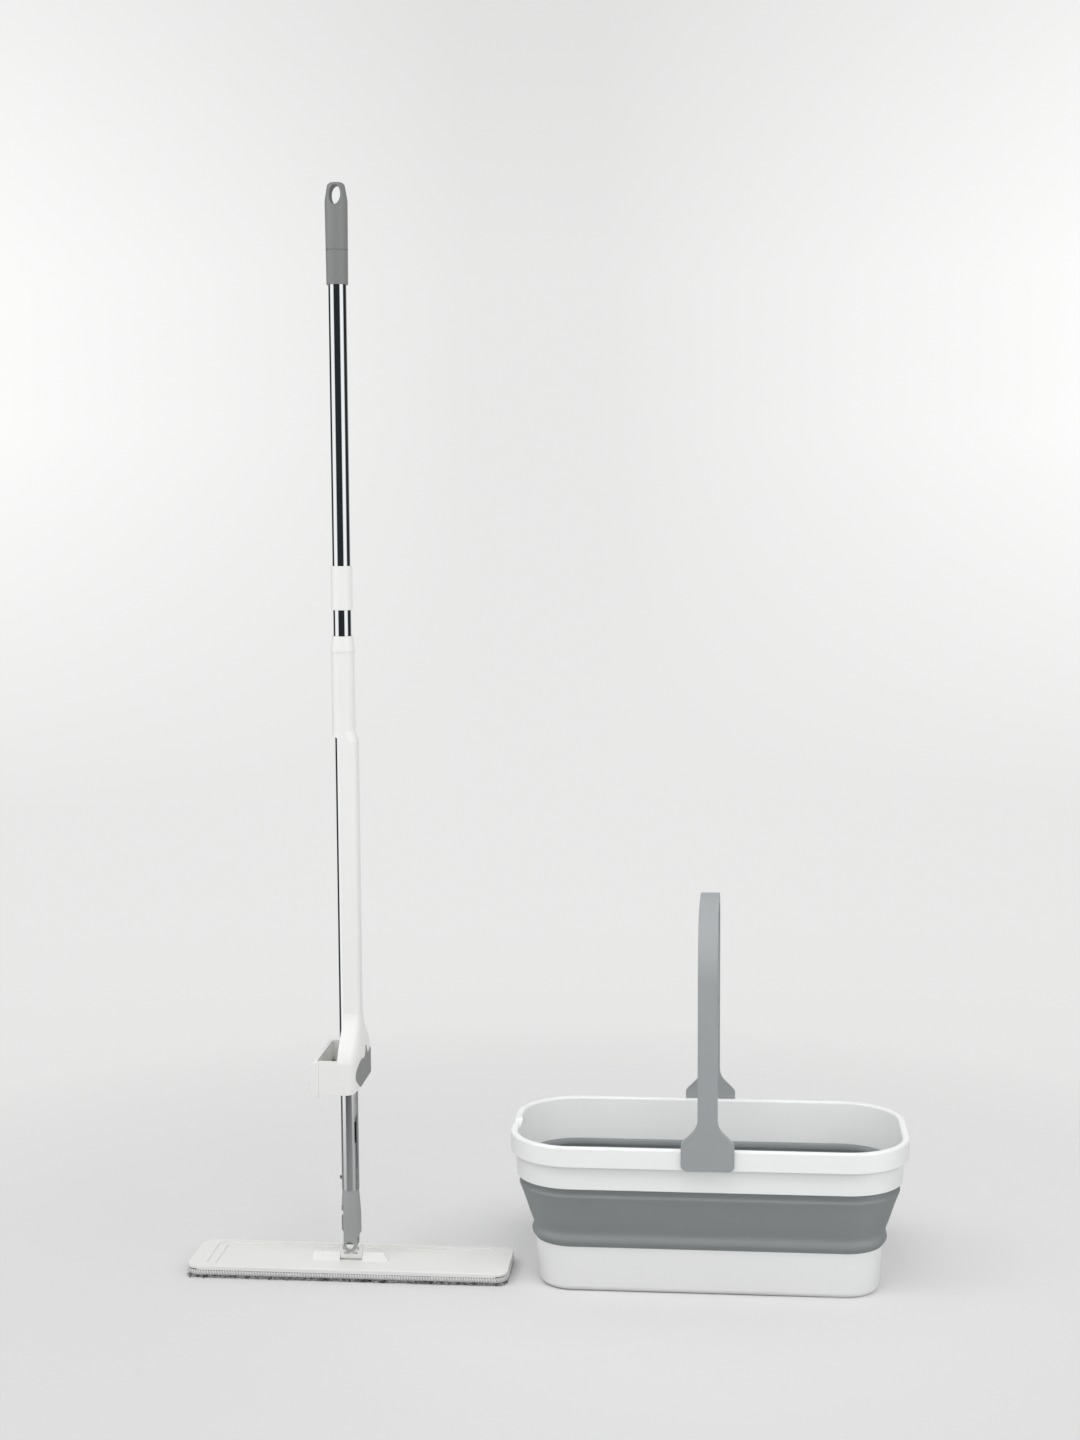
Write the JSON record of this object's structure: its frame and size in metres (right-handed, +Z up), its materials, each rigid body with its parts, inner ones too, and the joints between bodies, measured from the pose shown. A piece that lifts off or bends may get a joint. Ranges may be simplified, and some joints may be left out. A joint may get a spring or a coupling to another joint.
{
  "type": "mop and bucket with wringer",
  "caption": "Flat mop with a folding head and a squeeze sleeve sliding on its chrome pole, standing beside a long folding bucket with a silicone wall and a swinging bail handle.",
  "frame": {"origin": "centre of the set's footprint on the floor", "axes": "+X from the mop towards the bucket, +Y away from the viewer, +Z up"},
  "size_m": [0.819, 0.2176, 1.2248],
  "materials": {
    "white_plastic": "satin moulded white",
    "grey_plastic": "satin moulded grey",
    "grey_silicone": "soft matte silicone",
    "grey_soft": "soft-touch grey",
    "blade_rubber": "smooth rubber",
    "chrome": "polished chrome tube",
    "steel": "plain steel",
    "hook_tape": "woven hook tape",
    "pad_knit": "light grey knit",
    "pad_fibre": "dark grey looped fibre"
  },
  "bodies": {
    "bucket_base": {"bucket_base": "white_plastic", "silicone_band": "grey_silicone"},
    "bucket_rim": {"bucket_rim": "white_plastic"},
    "bail": {"bail_handle": "grey_plastic"},
    "mop_head": {"mop_plate": "white_plastic", "roll_pin": "steel", "hook_strips": "hook_tape", "pad_backing": "pad_knit", "pad_pile": "pad_fibre"},
    "hinge": {"hinge_block": "white_plastic", "swing_pin": "white_plastic"},
    "pole": {"head_yoke": "grey_plastic", "lower_pole": "chrome", "joint_plug": "white_plastic", "joint_collar": "white_plastic", "upper_pole": "chrome", "end_grip": "grey_plastic"},
    "wringer": {"wringer_sleeve": "white_plastic", "sleeve_ring": "white_plastic", "guide_bush": "white_plastic", "grip_insert": "grey_soft", "wringer_cap": "white_plastic", "cap_screws": "steel", "scraper_blade": "blade_rubber"},
    "button": {"snap_button": "steel", "button_spring": "steel"}
  },
  "joints": [
    {"name": "bucket_collapse", "type": "slide", "parent": "bucket_base", "child": "bucket_rim", "axis": [0, 0, 1], "range_m": [-0.088, 0], "deforming": ["silicone_band"]},
    {"name": "bail_swing", "type": "hinge", "parent": "bucket_rim", "child": "bail", "pos_m": [0.1845, 0, 0.163], "axis": [0, 1, 0], "range_deg": [-90, 90]},
    {"name": "mop_lift", "type": "slide", "parent": "bucket_base", "child": "mop_head", "axis": [0, 0, 1], "range_m": [0, 0.3]},
    {"name": "head_roll", "type": "hinge", "parent": "mop_head", "child": "hinge", "pos_m": [-0.2245, -0.022, 0.0162], "axis": [1, 0, 0], "range_deg": [-35, 35]},
    {"name": "handle_swing", "type": "hinge", "parent": "hinge", "child": "pole", "pos_m": [-0.2245, -0.022, 0.031], "axis": [0, 1, 0], "range_deg": [-88, 35]},
    {"name": "wringer_slide", "type": "slide", "parent": "pole", "child": "wringer", "axis": [0, 0, -1], "range_m": [-0.028, 0.13]},
    {"name": "button_press", "type": "slide", "parent": "pole", "child": "button", "axis": [1, 0, 0], "range_m": [0, 0.003], "stiffness_N_per_m": 400, "springref_m": -0.001}
  ]
}
